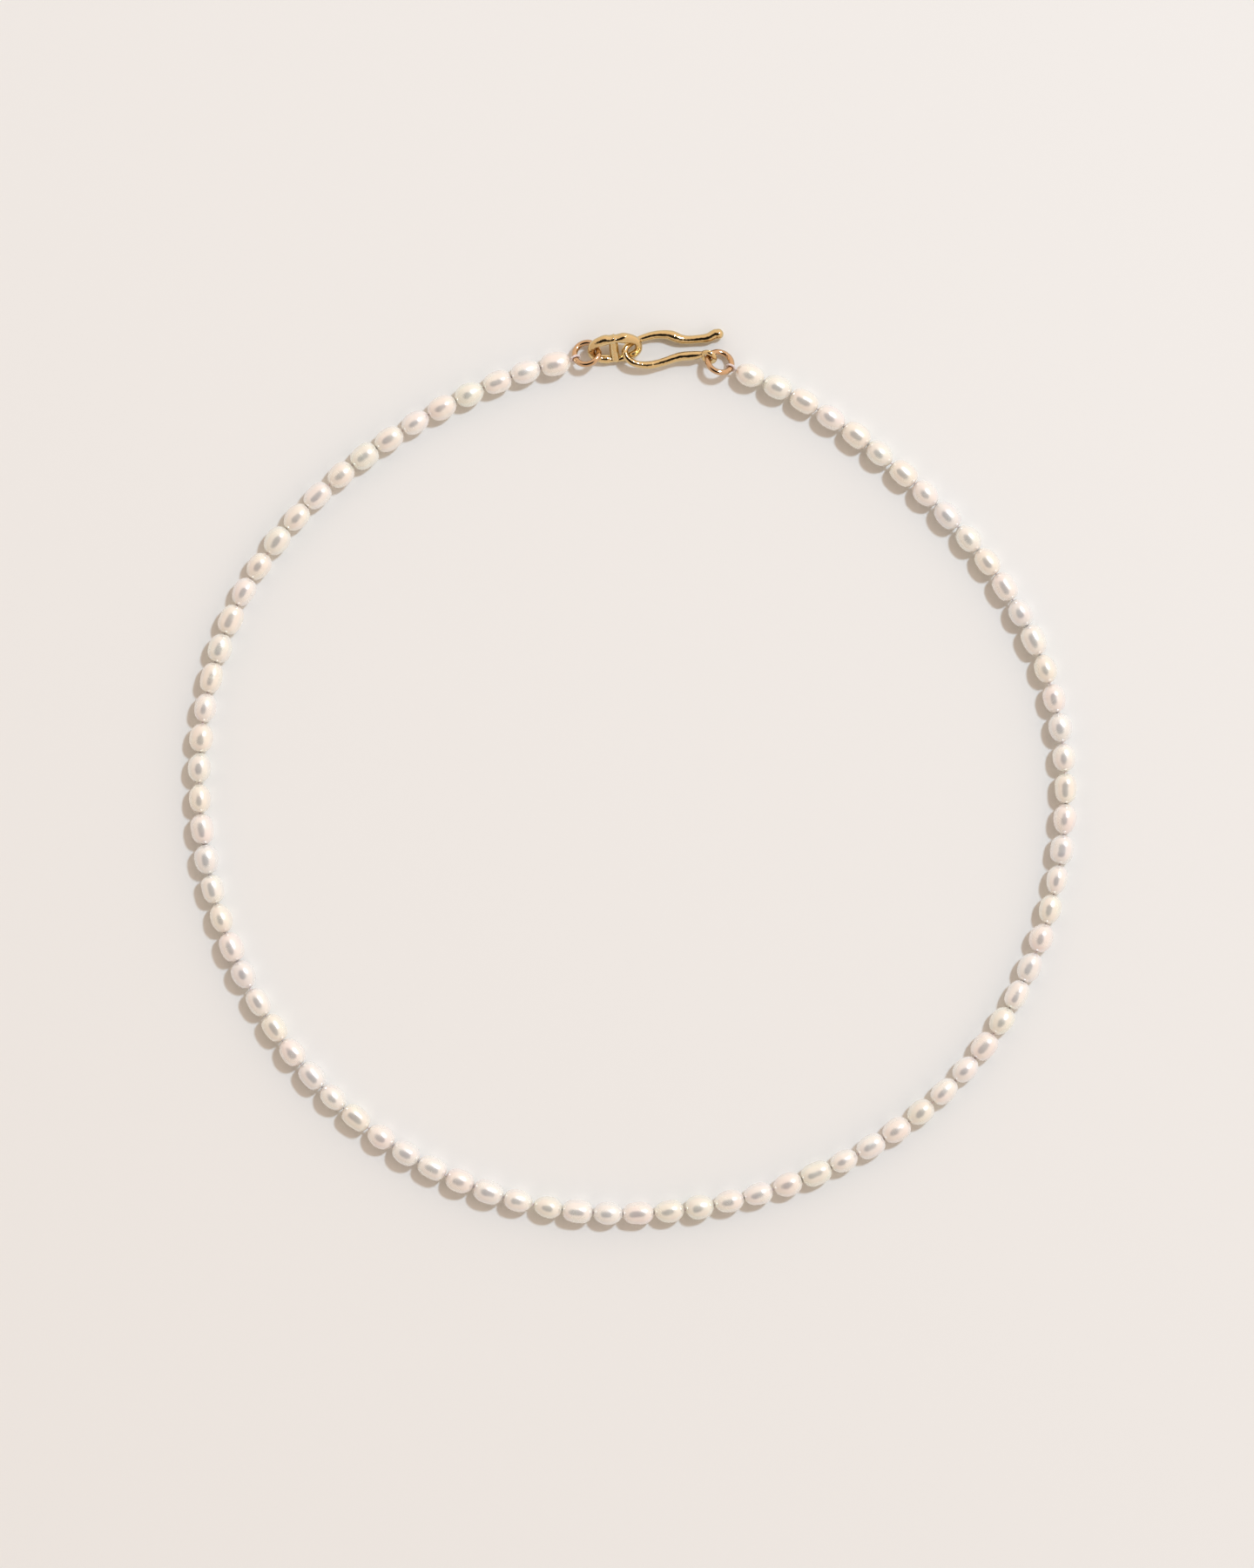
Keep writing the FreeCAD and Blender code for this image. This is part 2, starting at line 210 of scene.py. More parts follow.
@dataclass(frozen=True)
class GoldPlate:
    """Gold vermeil, cast or drawn and then hand polished: mirror bright with a slight uneven skin."""

    name: str
    colour: str
    roughness: float
    skin_strength: float
    ripple_scale: float = 1900.0
    relief_m: float = 0.00006

    def build(self) -> bpy.types.Material:
        """Build the gold material.

        Returns:
            The material.
        """
        material = bpy.data.materials.new(self.name)
        material.use_nodes = True
        tree = material.node_tree
        shader = tree.nodes["Principled BSDF"]
        place = add_node(tree, "ShaderNodeTexCoord")
        # polishing ripples, about 0.5 mm from crest to crest
        ripple = add_node(tree, "ShaderNodeTexNoise", {"noise_dimensions": "3D"},
                          {"Vector": place.outputs["Object"], "Scale": self.ripple_scale, "Detail": 2.0})
        bump = add_node(tree, "ShaderNodeBump", {}, {
            "Height": ripple.outputs["Fac"], "Strength": self.skin_strength,
            "Distance": self.relief_m})
        wear = add_node(tree, "ShaderNodeMapRange", {}, {
            "Value": ripple.outputs["Fac"], "From Min": 0.3, "From Max": 0.7,
            "To Min": self.roughness, "To Max": self.roughness + 0.05})
        shader.inputs["Base Color"].default_value = linear(self.colour)
        shader.inputs["Metallic"].default_value = 1.0
        tree.links.new(wear.outputs[0], shader.inputs["Roughness"])
        tree.links.new(bump.outputs["Normal"], shader.inputs["Normal"])
        return material


@dataclass(frozen=True)
class SilkThread:
    """Twisted filament silk bead thread, undyed with a faint lilac cast: matt with a fine twist."""

    colour: str = "#F1E6E2"
    # painted shade: the colour given to the grooves between plies, darker than the silk itself
    groove_shade: str = "#D9C8C6"
    ply_pitch_mm: float = 0.35

    def build(self) -> bpy.types.Material:
        """Build the thread material.

        Returns:
            The material.
        """
        material = bpy.data.materials.new("silk_bead_thread_twisted")
        material.use_nodes = True
        tree = material.node_tree
        shader = tree.nodes["Principled BSDF"]
        place = add_node(tree, "ShaderNodeTexCoord")
        # one band for each ply of the twist; the low part of each band is the groove between plies, sunk by
        # the bump and painted darker as shade
        twist = add_node(tree, "ShaderNodeTexWave", {"wave_type": "BANDS", "bands_direction": "DIAGONAL"}, {
            "Vector": place.outputs["Object"], "Scale": 0.31 / (self.ply_pitch_mm * MM), "Distortion": 0.6})
        ramp = add_node(tree, "ShaderNodeValToRGB", {}, {"Fac": twist.outputs["Fac"]})
        ramp.color_ramp.elements[0].color = linear(self.groove_shade)
        ramp.color_ramp.elements[1].color = linear(self.colour)
        bump = add_node(tree, "ShaderNodeBump", {}, {
            "Height": twist.outputs["Fac"], "Strength": 0.6, "Distance": 0.00004})
        tree.links.new(ramp.outputs["Color"], shader.inputs["Base Color"])
        tree.links.new(bump.outputs["Normal"], shader.inputs["Normal"])
        shader.inputs["Roughness"].default_value = 0.75
        return material


@dataclass(frozen=True)
class TableTop:
    """Smooth painted board under the necklace: warm off-white, matt."""

    colour: str = "#EBEBE8"

    def build(self) -> bpy.types.Material:
        """Build the table material.

        Returns:
            The material.
        """
        material = bpy.data.materials.new("painted_board_matt")
        material.use_nodes = True
        shader = material.node_tree.nodes["Principled BSDF"]
        shader.inputs["Base Color"].default_value = linear(self.colour)
        shader.inputs["Roughness"].default_value = 0.85
        shader.inputs["Specular IOR Level"].default_value = 0.15
        return material


# ---------------------------------------------------------------- mesh helpers
def plain_mesh(obj: bpy.types.Object, name: str) -> bpy.types.Object:
    """Bake an object's modifiers into a plain mesh worked in millimetres and bring it to metres.

    Args:
        obj: the object with its modifiers, which is removed.
        name: the name of the finished piece.

    Returns:
        The finished piece at the origin.
    """
    graph = bpy.context.evaluated_depsgraph_get()
    mesh = bpy.data.meshes.new_from_object(obj.evaluated_get(graph))
    bpy.data.objects.remove(obj)
    mesh.transform(Matrix.Scale(MM, 4))
    mesh.name = name
    mesh.polygons.foreach_set("use_smooth", [True] * len(mesh.polygons))
    piece = bpy.data.objects.new(name, mesh)
    bpy.context.scene.collection.objects.link(piece)
    return piece


def merged_copy(node: str) -> bpy.types.Object:
    """Copy a CAD node's mesh, joined at its seams and scaled to millimetres.

    Args:
        node: the CAD node.

    Returns:
        The working copy.
    """
    source = frame["nodes"][node].data
    corners = np.zeros(len(source.vertices) * 3)
    source.vertices.foreach_get("co", corners)
    corners = corners.reshape(-1, 3) / MM
    faces = np.zeros(len(source.loops), dtype=np.int64)
    source.loops.foreach_get("vertex_index", faces)
    spots, place = np.unique(np.round(corners, 4), axis=0, return_inverse=True)
    triangles = place.reshape(-1)[faces].reshape(-1, 3)
    kept = [tri for tri in triangles.tolist() if len(set(tri)) == 3]
    mesh = bpy.data.meshes.new(node + "_work")
    mesh.from_pydata(spots.tolist(), [], kept)
    mesh.update()
    work = bpy.data.objects.new(node + "_work", mesh)
    bpy.context.scene.collection.objects.link(work)
    return work


def solid_labels(triangles: np.ndarray, count: int) -> np.ndarray:
    """Number the separate solids of a mesh.

    Args:
        triangles: vertex numbers, three to a row.
        count: number of vertices.

    Returns:
        For each vertex, the lowest vertex number of its solid.
    """
    labels = np.arange(count)
    while True:
        lowest = labels[triangles].min(axis=1)
        fresh = labels.copy()
        for corner in range(3):
            np.minimum.at(fresh, triangles[:, corner], lowest)
        fresh = fresh[fresh]
        if np.array_equal(fresh, labels):
            return labels
        labels = fresh


def geometry_tree(name: str, sizes: dict[str, tuple[str, float]]) -> tuple[bpy.types.NodeTree, dict, dict]:
    """Start a geometry node tree with a geometry input, named size inputs and a geometry output.

    Args:
        name: the tree's name.
        sizes: input name to (socket type, default value).

    Returns:
        The tree, its input sockets by name, and their identifiers by name.
    """
    tree = bpy.data.node_groups.new(name, "GeometryNodeTree")
    tree.interface.new_socket(name="Geometry", in_out="INPUT", socket_type="NodeSocketGeometry")
    tree.interface.new_socket(name="Geometry", in_out="OUTPUT", socket_type="NodeSocketGeometry")
    identifiers = {}
    for label, (kind, default) in sizes.items():
        socket = tree.interface.new_socket(name=label, in_out="INPUT", socket_type=kind)
        if default is not None:
            socket.default_value = default
        identifiers[label] = socket.identifier
    group_input = tree.nodes.new("NodeGroupInput")
    sockets = {socket.name: socket for socket in group_input.outputs if socket.name}
    return tree, sockets, identifiers


# ---------------------------------------------------------------- pearls
@dataclass
class PearlSeat:
    """Where one pearl sits on the thread, in millimetres."""

    centre: Vector
    axis: Vector
    length: float
    width: float
    number: int


class PearlForm(Enum):
    """Shapes sorted into one strand: how blunt the oval is, and how much fatter one end is."""

    POINTED = (2.02, 0.05)
    OVAL = (2.20, -0.04)
    BARREL = (2.50, 0.03)


@dataclass
class PearlShaper:
    """Geometry nodes that grow a run of natural pearls on their seats."""

    meridians: int = 64
    rings: int = 44
    bore_mm: float = 0.60
    lump_mm: float = 0.10
    ridge_mm: float = 0.008
    touch: float = 1.034
    dent_depth: float = 0.20
    lump_scale: float = 0.33
    lump_gain: float = 2.4
    ridge_scale: float = 3.2
    ridge_gain: float = 3.0
    tree: bpy.types.NodeTree = field(init=False, repr=False)
    identifiers: dict = field(init=False, repr=False)

    def __post_init__(self) -> None:
        """Build the tree once; every run of pearls shares it."""
        tree, given, identifiers = geometry_tree("pearl_run", {
            "Meridians": ("NodeSocketInt", self.meridians),
            "Rings": ("NodeSocketInt", self.rings),
            "Bore Width": ("NodeSocketFloat", self.bore_mm),
            "Lump Height": ("NodeSocketFloat", self.lump_mm),
            "Ridge Height": ("NodeSocketFloat", self.ridge_mm),
            "Nacre": ("NodeSocketMaterial", None),
        })
        ball = add_node(tree, "GeometryNodeMeshUVSphere", {}, {
            "Segments": given["Meridians"], "Rings": given["Rings"], "Radius": 1.0})
        here = add_node(tree, "GeometryNodeInputPosition")
        parts = add_node(tree, "ShaderNodeSeparateXYZ", {}, {0: here.outputs[0]})
        marked = add_node(tree, "GeometryNodeStoreNamedAttribute",
                          {"data_type": "FLOAT", "domain": "POINT"}, {
                              "Geometry": ball.outputs["Mesh"], "Name": "pearl_along",
                              "Value": parts.outputs[2]})
        forms = add_node(tree, "GeometryNodeJoinGeometry")
        # the join lists its links from the last made to the first
        for form in reversed(PearlForm):
            shaped = self._shaped_ball(tree, given, marked.outputs["Geometry"], *form.value)
            instance = add_node(tree, "GeometryNodeGeometryToInstance", {}, {0: shaped})
            tree.links.new(instance.outputs[0], forms.inputs[0])
        turn = add_node(tree, "GeometryNodeInputNamedAttribute", {"data_type": "FLOAT_VECTOR"},
                        {"Name": "seat_turn"})
        rotation = add_node(tree, "FunctionNodeEulerToRotation", {}, {0: turn.outputs[0]})
        girth = add_node(tree, "GeometryNodeInputNamedAttribute", {"data_type": "FLOAT_VECTOR"},
                         {"Name": "seat_size"})
        choice = add_node(tree, "GeometryNodeInputNamedAttribute", {"data_type": "INT"},
                          {"Name": "seat_form"})
        placed = add_node(tree, "GeometryNodeInstanceOnPoints", {}, {
            "Points": given["Geometry"], "Instance": forms.outputs[0], "Pick Instance": True,
            "Instance Index": choice.outputs[0], "Rotation": rotation.outputs[0],
            "Scale": girth.outputs[0]})
        real = add_node(tree, "GeometryNodeRealizeInstances", {}, {"Geometry": placed.outputs["Instances"]})
        lumpy = self._grown_skin(tree, given, real.outputs["Geometry"])
        dressed = add_node(tree, "GeometryNodeSetMaterial", {}, {
            "Geometry": lumpy, "Material": given["Nacre"]})
        add_node(tree, "NodeGroupOutput", {}, {"Geometry": dressed.outputs["Geometry"]})
        self.tree = tree
        self.identifiers = identifiers

    def _shaped_ball(self, tree: bpy.types.NodeTree, given: dict, mesh: bpy.types.NodeSocket,
                     bluntness: float, fat_end: float) -> bpy.types.NodeSocket:
        """Swell the unit ball toward a blunt oval, fatten one end and sink the bore at its poles.

        Args:
            tree: the node tree.
            given: the tree's input sockets.
            mesh: the unit ball.
            bluntness: 2 for a plain oval, more for a barrel.
            fat_end: share by which the upper end is wider.

        Returns:
            The shaped mesh.
        """
        here = add_node(tree, "GeometryNodeInputPosition")
        parts = add_node(tree, "ShaderNodeSeparateXYZ", {}, {0: here.outputs[0]})
        flat = add_node(tree, "ShaderNodeCombineXYZ", {}, {0: parts.outputs[0], 1: parts.outputs[1]})
        girth = add_node(tree, "ShaderNodeVectorMath", {"operation": "LENGTH"}, {0: flat.outputs[0]})
        rise = add_node(tree, "ShaderNodeMath", {"operation": "ABSOLUTE"}, {0: parts.outputs[2]})
        girth_power = add_node(tree, "ShaderNodeMath", {"operation": "POWER"},
                               {0: girth.outputs["Value"], 1: bluntness})
        rise_power = add_node(tree, "ShaderNodeMath", {"operation": "POWER"},
                              {0: rise.outputs[0], 1: bluntness})
        total = add_node(tree, "ShaderNodeMath", {"operation": "ADD"},
                         {0: girth_power.outputs[0], 1: rise_power.outputs[0]})
        swell = add_node(tree, "ShaderNodeMath", {"operation": "POWER"},
                         {0: total.outputs[0], 1: -1.0 / bluntness})
        fat = add_node(tree, "ShaderNodeMath", {"operation": "MULTIPLY_ADD"},
                       {0: parts.outputs[2], 1: fat_end, 2: 1.0 - abs(fat_end) / 2})
        wide = add_node(tree, "ShaderNodeMath", {"operation": "MULTIPLY"},
                        {0: swell.outputs[0], 1: fat.outputs[0]})
        stretch = add_node(tree, "ShaderNodeCombineXYZ", {}, {
            0: wide.outputs[0], 1: wide.outputs[0], 2: swell.outputs[0]})
        shaped = add_node(tree, "ShaderNodeVectorMath", {"operation": "MULTIPLY"},
                          {0: here.outputs[0], 1: stretch.outputs[0]})
        # the bore: points inside its width sink well into the pearl
        rim = add_node(tree, "ShaderNodeMath", {"operation": "MULTIPLY"}, {0: given["Bore Width"], 1: 0.26})
        lip = add_node(tree, "ShaderNodeMath", {"operation": "MULTIPLY"}, {0: given["Bore Width"], 1: 0.12})
        sunk = add_node(tree, "ShaderNodeMapRange", {"interpolation_type": "SMOOTHSTEP"}, {
            "Value": girth.outputs["Value"], "From Min": lip.outputs[0], "From Max": rim.outputs[0],
            "To Min": -self.dent_depth, "To Max": 0.0})
        side = add_node(tree, "ShaderNodeMath", {"operation": "SIGN"}, {0: parts.outputs[2]})
        down = add_node(tree, "ShaderNodeMath", {"operation": "MULTIPLY"},
                        {0: side.outputs[0], 1: sunk.outputs[0]})
        drop = add_node(tree, "ShaderNodeCombineXYZ", {}, {2: down.outputs[0]})
        place = add_node(tree, "ShaderNodeVectorMath", {"operation": "ADD"},
                         {0: shaped.outputs[0], 1: drop.outputs[0]})
        bored = add_node(tree, "GeometryNodeSetPosition", {}, {
            "Geometry": mesh, "Position": place.outputs[0]})
        return bored.outputs[0]

    def _grown_skin(self, tree: bpy.types.NodeTree, given: dict,
                    mesh: bpy.types.NodeSocket) -> bpy.types.NodeSocket:
        """Give every pearl its own slow lumps and growth ridges.

        Args:
            tree: the node tree.
            given: the tree's input sockets.
            mesh: the pearls, realised.

        Returns:
            The displaced mesh.
        """
        here = add_node(tree, "GeometryNodeInputPosition")
        normal = add_node(tree, "GeometryNodeInputNormal")
        # lumps about 3 mm across
        slow = add_node(tree, "ShaderNodeTexNoise", {"noise_dimensions": "3D"},
                        {"Vector": here.outputs[0], "Scale": self.lump_scale, "Detail": 1.0,
                         "Roughness": 0.4})
        slow_mid = add_node(tree, "ShaderNodeMath", {"operation": "SUBTRACT"},
                            {0: slow.outputs["Fac"], 1: 0.5})
        lump = add_node(tree, "ShaderNodeMath", {"operation": "MULTIPLY"},
                        {0: slow_mid.outputs[0], 1: given["Lump Height"]})
        lumps = add_node(tree, "ShaderNodeMath", {"operation": "MULTIPLY"},
                         {0: lump.outputs[0], 1: self.lump_gain})
        along = add_node(tree, "GeometryNodeInputNamedAttribute", {"data_type": "FLOAT"},
                         {"Name": "pearl_along"})
        seed = add_node(tree, "GeometryNodeInputNamedAttribute", {"data_type": "FLOAT"},
                        {"Name": "pearl_seed"})
        shift = add_node(tree, "ShaderNodeMath", {"operation": "MULTIPLY_ADD"},
                         {0: seed.outputs[0], 1: 40.0, 2: along.outputs[0]})
        # shallow ridges about 0.7 mm apart, different on every pearl
        ring = add_node(tree, "ShaderNodeTexNoise", {"noise_dimensions": "1D"},
                        {"W": shift.outputs[0], "Scale": self.ridge_scale, "Detail": 0.0})
        ring_mid = add_node(tree, "ShaderNodeMath", {"operation": "SUBTRACT"},
                            {0: ring.outputs["Fac"], 1: 0.5})
        ridge = add_node(tree, "ShaderNodeMath", {"operation": "MULTIPLY"},
                         {0: ring_mid.outputs[0], 1: given["Ridge Height"]})
        relief = add_node(tree, "ShaderNodeMath", {"operation": "MULTIPLY_ADD"},
                          {0: ridge.outputs[0], 1: self.ridge_gain, 2: lumps.outputs[0]})
        offset = add_node(tree, "ShaderNodeVectorMath", {"operation": "SCALE"},
                          {0: normal.outputs[0], "Scale": relief.outputs[0]})
        moved = add_node(tree, "GeometryNodeSetPosition", {}, {
            "Geometry": mesh, "Offset": offset.outputs[0]})
        return moved.outputs[0]

    def grow(self, seats: list[PearlSeat], name: str, nacre: bpy.types.Material) -> bpy.types.Object:
        """Grow the pearls of one run.

        Args:
            seats: where the pearls sit.
            name: the finished piece's name.
            nacre: their material.

        Returns:
            The finished piece.
        """
        mesh = bpy.data.meshes.new(name + "_seats")
        mesh.from_pydata([tuple(seat.centre) for seat in seats], [], [])
        turns = []
        girths = []
        for seat in seats:
            spin = math.tau * ((seat.number * 0.618) % 1.0)
            way = seat.axis if math.sin(2.3 * seat.number) > 0 else -seat.axis
            facing = way.to_track_quat("Z", "Y").to_matrix() @ Matrix.Rotation(spin, 3, "Z")
            squash = 1 + 0.025 * math.sin(3.1 * seat.number)
            turns.extend(facing.to_euler())
            girths.extend((seat.width / 2 * squash, seat.width / 2 * (2 - squash),
                           seat.length / 2 * self.touch))
        seeds = [(seat.number * 0.7548777 + 0.13) % 1.0 for seat in seats]
        forms = [int(3 * ((seat.number * 0.5698403 + 0.41) % 1.0)) for seat in seats]
        mesh.attributes.new("seat_turn", "FLOAT_VECTOR", "POINT").data.foreach_set("vector", turns)
        mesh.attributes.new("seat_size", "FLOAT_VECTOR", "POINT").data.foreach_set("vector", girths)
        mesh.attributes.new("pearl_seed", "FLOAT", "POINT").data.foreach_set("value", seeds)
        mesh.attributes.new("seat_form", "INT", "POINT").data.foreach_set("value", forms)
        work = bpy.data.objects.new(name + "_work", mesh)
        bpy.context.scene.collection.objects.link(work)
        modifier = work.modifiers.new("pearls", "NODES")
        modifier.node_group = self.tree
        given = {"Meridians": self.meridians, "Rings": self.rings, "Bore Width": self.bore_mm,
                 "Lump Height": self.lump_mm, "Ridge Height": self.ridge_mm, "Nacre": nacre}
        for label, value in given.items():
            modifier[self.identifiers[label]] = value
        return plain_mesh(work, name)


@dataclass
class PearlRun:
    """The pearls of one strand segment, grown on the seats that the CAD pearls give."""

    node: str
    body: str
    start: Vector
    first_number: int
    bend_room: float = 0.06
    seats: list[PearlSeat] = field(init=False)

    def __post_init__(self) -> None:
        """Read each pearl's centre, bore axis, length and width from the CAD solids."""
        work = merged_copy(self.node)
        mesh = work.data
        corners = np.zeros(len(mesh.vertices) * 3)
        mesh.vertices.foreach_get("co", corners)
        corners = corners.reshape(-1, 3)
        triangles = np.zeros(len(mesh.loops), dtype=np.int64)
        mesh.loops.foreach_get("vertex_index", triangles)
        triangles = triangles.reshape(-1, 3)
        labels = solid_labels(triangles, len(corners))
        found = []
        for label in np.unique(labels[triangles[:, 0]]):
            own = triangles[labels[triangles[:, 0]] == label]
            edge_a = corners[own[:, 1]] - corners[own[:, 0]]
            edge_b = corners[own[:, 2]] - corners[own[:, 0]]
            area = np.linalg.norm(np.cross(edge_a, edge_b), axis=1)
            middle = (corners[own].mean(axis=1) * area[:, None]).sum(axis=0) / area.sum()
            found.append((Vector(middle), corners[np.unique(own)]))
        bpy.data.objects.remove(work)
        found.sort(key=lambda item: (item[0] - self.start).length)
        self.seats = []
        gap = self.start
        for index, (centre, cloud) in enumerate(found):
            axis = (centre - gap).normalized()
            away = cloud - np.array(centre)
            reach = away @ np.array(axis)
            girth = np.linalg.norm(away - np.outer(reach, np.array(axis)), axis=1)
            self.seats.append(PearlSeat(centre, axis, float(reach.max() - reach.min()),
                                        float(girth.max() * 2), self.first_number + index))
            gap = centre * 2 - gap
        # the pearls on either side of a bend keep clear of each other as it turns
        for seat, way in ((self.seats[0], 1), (self.seats[-1], -1)):
            seat.centre = seat.centre + seat.axis * way * self.bend_room / 2
            seat.length -= self.bend_room

    def build(self, shaper: PearlShaper, nacre: bpy.types.Material) -> bpy.types.Object:
        """Grow the pearls and let them ride on their segment.

        Args:
            shaper: the shared geometry nodes.
            nacre: the pearls' material.

        Returns:
            The finished piece.
        """
        piece = shaper.grow(self.seats, "nacre_" + self.node, nacre)
        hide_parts(self.node)
        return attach(piece, self.body)


# ---------------------------------------------------------------- thread
@dataclass
class ThreadBridge:
    """The thread between two segments: a short rod that ends in a ball on the axis of the bend.

    The ball stays inside the end of the next length of thread at every angle, so no gap opens.
    """

    joint: dict
    along: Vector
    width_mm: float = 0.31
    reach_mm: float = 0.25
    sides: int = 24
    rounds: int = 8

    def build(self, silk: bpy.types.Material) -> bpy.types.Object:
        """Build the bridge and let it ride on the segment before the bend.

        Args:
            silk: the thread's material.

        Returns:
            The finished piece.
        """
        centre = Vector(self.joint["pos_m"]) / MM
        side = self.along.orthogonal().normalized()
        other = self.along.cross(side)
        radius = self.width_mm / 2
        profile = [(-self.reach_mm, radius), (-self.reach_mm / 2, radius)]
        for step in range(self.rounds):
            rise = math.pi / 2 * step / self.rounds
            profile.append((radius * math.sin(rise), radius * math.cos(rise)))
        spots = []
        for forward, girth in profile:
            for turn in range(self.sides):
                angle = math.tau * turn / self.sides
                spots.append(centre + self.along * forward
                             + (side * math.cos(angle) + other * math.sin(angle)) * girth)
        spots.append(centre + self.along * radius)
        faces = []
        for step in range(len(profile) - 1):
            for turn in range(self.sides):
                here = step * self.sides + turn
                beside = step * self.sides + (turn + 1) % self.sides
                faces.append((here, beside, beside + self.sides, here + self.sides))
        faces.append(tuple(reversed(range(self.sides))))
        last = (len(profile) - 1) * self.sides
        for turn in range(self.sides):
            faces.append((last + turn, last + (turn + 1) % self.sides, len(spots) - 1))
        name = "thread_bridge_" + self.joint["name"]
        mesh = bpy.data.meshes.new(name)
        mesh.from_pydata([tuple(spot * MM) for spot in spots], [], faces)
        mesh.polygons.foreach_set("use_smooth", [True] * len(mesh.polygons))
        mesh.materials.append(silk)
        piece = bpy.data.objects.new(name, mesh)
        bpy.context.scene.collection.objects.link(piece)
        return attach(piece, self.joint["parent"])


# ---------------------------------------------------------------- findings
@dataclass
class CastPiece:
    """A cast clasp piece, taken from its CAD body and given a hand-finished skin.

    fuller_mm is how far the finished skin stands outside the CAD body.
    """

    node: str
    body: str
    slot: str
    name: str
    grain_mm: float = 0.075
    smooth_steps: int = 6
    dent_mm: float = 0.05
    dent_scale: float = 0.55
    dent_gain: float = 3.0
    fuller_mm: float = 0.0

    def _skin_tree(self) -> tuple[bpy.types.NodeTree, dict]:
        """Geometry nodes for shallow uneven dents.

        Returns:
            The tree and the identifiers of its inputs.
        """
        tree, given, identifiers = geometry_tree(self.name + "_skin", {
            "Dent Depth": ("NodeSocketFloat", self.dent_mm),
            "Dent Scale": ("NodeSocketFloat", self.dent_scale),
            "Fuller By": ("NodeSocketFloat", self.fuller_mm),
            "Gold": ("NodeSocketMaterial", None),
        })
        here = add_node(tree, "GeometryNodeInputPosition")
        normal = add_node(tree, "GeometryNodeInputNormal")
        noise = add_node(tree, "ShaderNodeTexNoise", {"noise_dimensions": "3D"}, {
            "Vector": here.outputs[0], "Scale": given["Dent Scale"], "Detail": 2.0, "Roughness": 0.45})
        middle = add_node(tree, "ShaderNodeMath", {"operation": "SUBTRACT"},
                          {0: noise.outputs["Fac"], 1: 0.5})
        depth = add_node(tree, "ShaderNodeMath", {"operation": "MULTIPLY"},
                         {0: middle.outputs[0], 1: given["Dent Depth"]})
        deep = add_node(tree, "ShaderNodeMath", {"operation": "MULTIPLY_ADD"},
                        {0: depth.outputs[0], 1: self.dent_gain, 2: given["Fuller By"]})
        offset = add_node(tree, "ShaderNodeVectorMath", {"operation": "SCALE"},
                          {0: normal.outputs[0], "Scale": deep.outputs[0]})
        moved = add_node(tree, "GeometryNodeSetPosition", {}, {
            "Geometry": given["Geometry"], "Offset": offset.outputs[0]})
        dressed = add_node(tree, "GeometryNodeSetMaterial", {}, {
            "Geometry": moved.outputs[0], "Material": given["Gold"]})
        add_node(tree, "NodeGroupOutput", {}, {"Geometry": dressed.outputs[0]})
        return tree, identifiers

    def build(self, gold: bpy.types.Material) -> bpy.types.Object:
        """Build the piece.

        Args:
            gold: its material.

        Returns:
            The finished piece.
        """
        work = merged_copy(self.node)
        remesh = work.modifiers.new("even_grain", "REMESH")
        remesh.mode = "VOXEL"
        remesh.voxel_size = self.grain_mm
        smooth = work.modifiers.new("soften", "SMOOTH")
        smooth.factor = 0.5
        smooth.iterations = self.smooth_steps
        tree, identifiers = self._skin_tree()
        skin = work.modifiers.new("skin", "NODES")
        skin.node_group = tree
        given = {"Dent Depth": self.dent_mm, "Dent Scale": self.dent_scale,
                 "Fuller By": self.fuller_mm, "Gold": gold}
        for label, value in given.items():
            skin[identifiers[label]] = value
        piece = plain_mesh(work, self.name)
        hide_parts(self.node)
        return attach(piece, self.body)


@dataclass
class WireRing:
    """A round jump ring bent from drawn wire, with the closed saw cut showing as a fine line."""

    node: str
    body: str
    name: str
    wire_mm: float = 0.90
    turns: int = 160
    sides: int = 36
    cut_mm: float = 0.05

    def build(self, gold: bpy.types.Material, axis: Vector) -> bpy.types.Object:
        """Build the ring.

        Args:
            gold: its material.
            axis: the ring's axis.

        Returns:
            The finished piece.
        """
        low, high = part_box(self.node)
        centre = (low + high) / 2 / MM
        corners = np.array([vertex.co for vertex in frame["nodes"][self.node].data.vertices]) / MM
        reach = np.linalg.norm(corners - np.array(centre), axis=1).max()
        wire = self.wire_mm / 2
        line = reach - wire
        side = axis.orthogonal().normalized()
        other = axis.cross(side)
        spots = []
        for turn in range(self.turns):
            angle = math.tau * turn / self.turns
            outward = side * math.cos(angle) + other * math.sin(angle)
            pinch = self.cut_mm if turn == 0 else 0.0
            for step in range(self.sides):
                swing = math.tau * step / self.sides
                spots.append(centre + outward * (line + (wire - pinch) * math.cos(swing))
                             + axis * ((wire - pinch) * math.sin(swing)))
        faces = []
        for turn in range(self.turns):
            following = (turn + 1) % self.turns
            for step in range(self.sides):
                beside = (step + 1) % self.sides
                faces.append((turn * self.sides + step, following * self.sides + step,
                              following * self.sides + beside, turn * self.sides + beside))
        mesh = bpy.data.meshes.new(self.name)
        mesh.from_pydata([tuple(spot * MM) for spot in spots], [], faces)
        mesh.polygons.foreach_set("use_smooth", [True] * len(mesh.polygons))
        mesh.materials.append(gold)
        piece = bpy.data.objects.new(self.name, mesh)
        bpy.context.scene.collection.objects.link(piece)
        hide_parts(self.node)
        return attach(piece, self.body)


